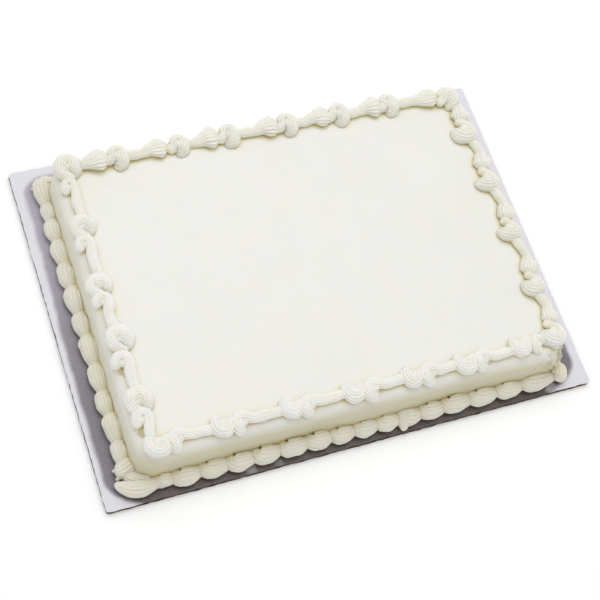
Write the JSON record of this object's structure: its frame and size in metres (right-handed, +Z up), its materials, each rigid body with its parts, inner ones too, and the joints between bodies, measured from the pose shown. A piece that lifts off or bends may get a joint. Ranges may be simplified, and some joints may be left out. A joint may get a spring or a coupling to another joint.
{
  "type": "sheet cake",
  "caption": "Rectangular iced sheet cake on its flat card board, with a piped scroll border round the top edge and a piped shell border round the foot.",
  "frame": {"origin": "centre of the board's underside, where the whole cake rests", "axes": "+X along the long side of the cake, +Y towards the back long side, +Z up through the iced top"},
  "size_m": [0.356, 0.254, 0.0484],
  "materials": {
    "board_paper": "smooth white paper on corrugated brown card, with grease soaked in round the cake",
    "smooth_icing": "spread white buttercream, satin, with faint knife marks",
    "piped_icing": "piped white buttercream with fine ridges from a star nozzle, satin"
  },
  "bodies": {
    "root": {"board": "board_paper", "cake_body": "smooth_icing", "top_border_left": "piped_icing", "top_border_front": "piped_icing", "top_border_right": "piped_icing", "top_border_back": "piped_icing", "base_border_left": "piped_icing", "base_border_front": "piped_icing", "base_border_right": "piped_icing", "base_border_back": "piped_icing"}
  },
  "joints": []
}
